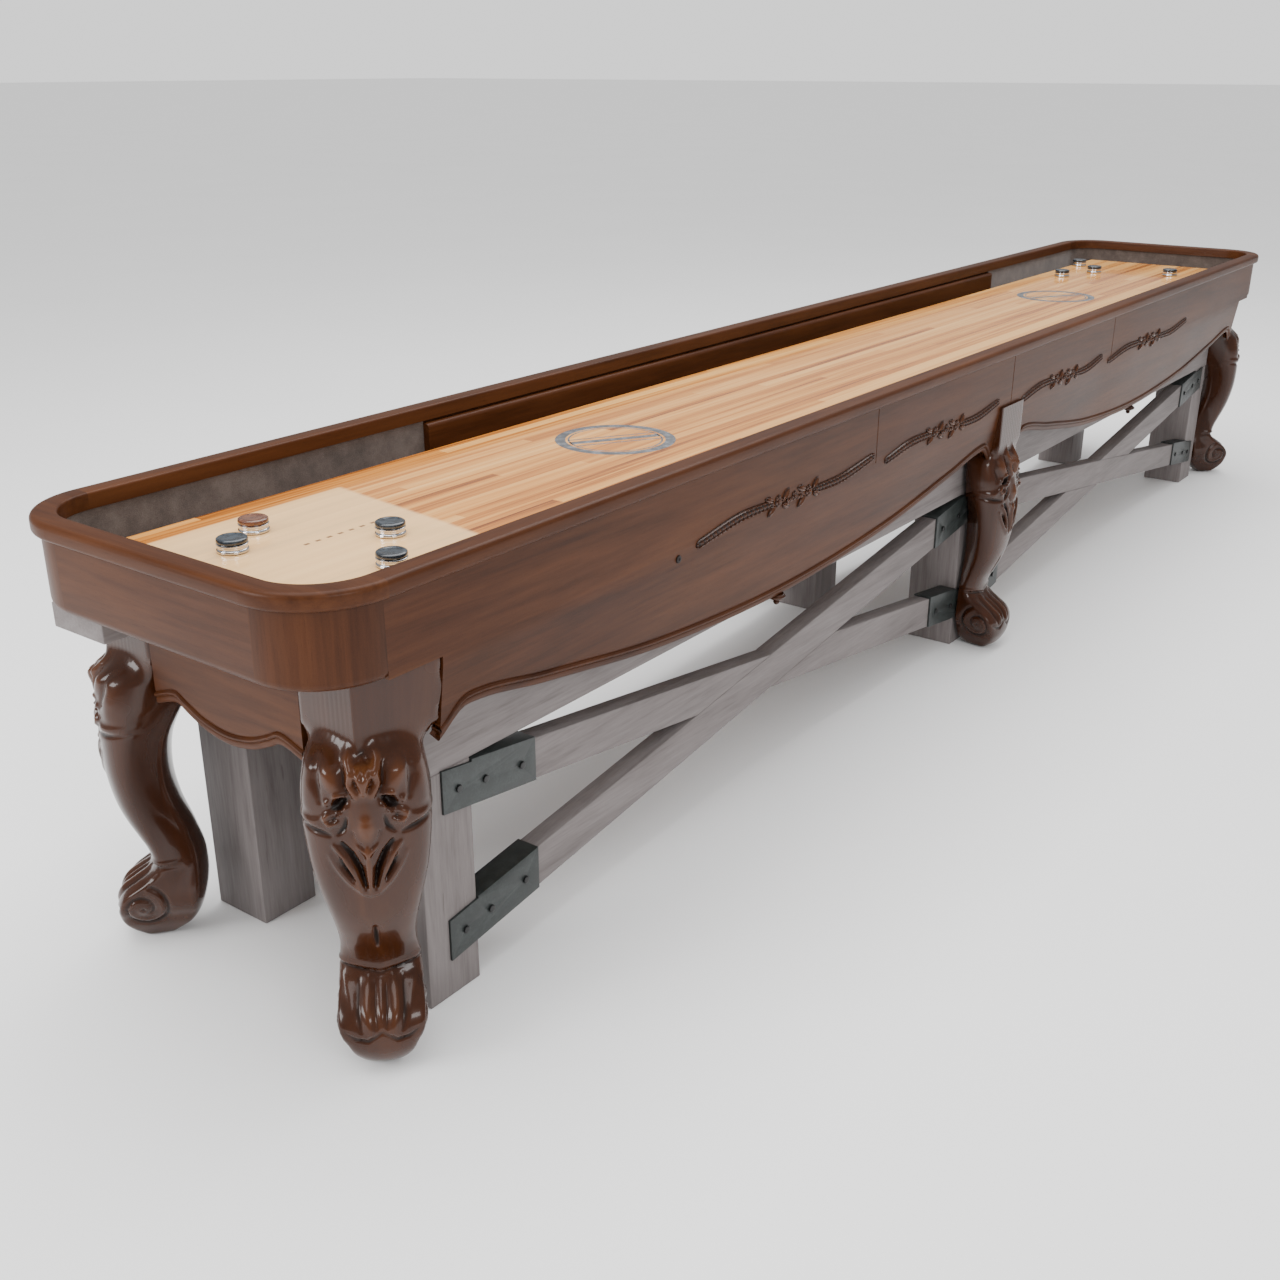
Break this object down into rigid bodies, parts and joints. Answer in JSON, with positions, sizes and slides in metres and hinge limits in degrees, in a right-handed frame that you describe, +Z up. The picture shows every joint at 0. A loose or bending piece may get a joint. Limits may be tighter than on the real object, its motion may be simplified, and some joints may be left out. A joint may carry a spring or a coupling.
{
  "type": "shuffleboard table",
  "caption": "Long shuffleboard table: walnut box with round corners and carved cabriole legs over a grey timber base with crossed braces; maple playfield, sliding weights, adjusters.",
  "frame": {"origin": "on the floor, under the middle of the table", "axes": "+X along the table from the near end to the far end, +Y across it to the back, +Z up"},
  "size_m": [4.877, 0.8578, 0.861],
  "materials": {
    "walnut": "satin stained walnut with fine pores",
    "carved_walnut": "gloss stained and carved walnut",
    "maple": "oiled maple staves",
    "field_skin": "clear hard poured surface over maple staves",
    "medallion_metal": "brushed",
    "plywood": "raw plywood",
    "liner": "short pile liner",
    "grey_timber": "grey washed timber, matt",
    "black_steel": "satin black",
    "bolt_steel": "black",
    "zinc_steel": "zinc plated",
    "weight_steel": "polished steel with a moulded cap",
    "glide_plastic": "hard plastic"
  },
  "bodies": {
    "table": {"playfield": "maple", "playing_surface": "field_skin", "medallions": "medallion_metal", "playfield_bearers": "grey_timber", "side_board_front": "walnut", "side_board_back": "walnut", "end_board_near": "walnut", "end_board_far": "walnut", "corner_blocks": "walnut", "side_rail_front": "walnut", "side_rail_back": "walnut", "end_rail_near": "walnut", "end_rail_far": "walnut", "rail_corners": "walnut", "gutter_floor": "plywood", "gutter_carpet": "liner", "wall_liner_near": "liner", "wall_liner_far": "liner", "wall_board_front": "walnut", "wall_board_back": "walnut", "side_apron_front": "walnut", "side_apron_back": "walnut", "end_apron_near": "walnut", "end_apron_far": "walnut", "apron_drops": "carved_walnut", "carved_strips_front": "carved_walnut", "carved_strips_back": "carved_walnut", "leg_near_front": "carved_walnut", "leg_near_back": "carved_walnut", "leg_middle_front": "carved_walnut", "leg_middle_back": "carved_walnut", "leg_far_front": "carved_walnut", "leg_far_back": "carved_walnut", "leg_glides": "glide_plastic", "top_beam_front": "grey_timber", "top_beam_back": "grey_timber", "long_beam_front": "grey_timber", "long_beam_back": "grey_timber", "cross_beams": "grey_timber", "posts_near": "grey_timber", "posts_middle": "grey_timber", "posts_far": "grey_timber", "braces_front": "grey_timber", "braces_back": "grey_timber", "brackets": "black_steel", "bracket_bolts": "bolt_steel", "adjuster_brackets": "zinc_steel", "adjuster_rods": "zinc_steel"},
    "nut_near": {"adjuster_nut_near": "zinc_steel"},
    "nut_middle": {"adjuster_nut_middle": "zinc_steel"},
    "nut_far": {"adjuster_nut_far": "zinc_steel"},
    "weight_1": {"weight_1": "weight_steel"},
    "weight_2": {"weight_2": "weight_steel"},
    "weight_3": {"weight_3": "weight_steel"},
    "weight_4": {"weight_4": "weight_steel"},
    "weight_5": {"weight_5": "weight_steel"},
    "weight_6": {"weight_6": "weight_steel"},
    "weight_7": {"weight_7": "weight_steel"},
    "weight_8": {"weight_8": "weight_steel"}
  },
  "joints": [
    {"name": "adjuster_near_turn", "type": "hinge", "parent": "table", "child": "nut_near", "pos_m": [-1.5, 0, 0.688], "axis": [0, 1, 0], "range_deg": [-180, 180]},
    {"name": "adjuster_middle_turn", "type": "hinge", "parent": "table", "child": "nut_middle", "pos_m": [0, 0, 0.688], "axis": [0, 1, 0], "range_deg": [-180, 180]},
    {"name": "adjuster_far_turn", "type": "hinge", "parent": "table", "child": "nut_far", "pos_m": [1.5, 0, 0.688], "axis": [0, 1, 0], "range_deg": [-180, 180]},
    {"name": "weight_1_slide", "type": "slide", "parent": "table", "child": "weight_1", "axis": [1, 0, 0], "range_m": [-0.033, 4.477]},
    {"name": "weight_2_slide", "type": "slide", "parent": "table", "child": "weight_2", "axis": [1, 0, 0], "range_m": [-0.124, 2.081]},
    {"name": "weight_3_slide", "type": "slide", "parent": "table", "child": "weight_3", "axis": [1, 0, 0], "range_m": [-0.252, 4.258]},
    {"name": "weight_4_slide", "type": "slide", "parent": "table", "child": "weight_4", "axis": [1, 0, 0], "range_m": [-0.141, 4.369]},
    {"name": "weight_5_slide", "type": "slide", "parent": "table", "child": "weight_5", "axis": [1, 0, 0], "range_m": [-3.995, 0.515]},
    {"name": "weight_6_slide", "type": "slide", "parent": "table", "child": "weight_6", "axis": [1, 0, 0], "range_m": [-1.869, 0.336]},
    {"name": "weight_7_slide", "type": "slide", "parent": "table", "child": "weight_7", "axis": [1, 0, 0], "range_m": [-4.33, 0.18]},
    {"name": "weight_8_slide", "type": "slide", "parent": "table", "child": "weight_8", "axis": [1, 0, 0], "range_m": [-4.259, 0.251]}
  ]
}
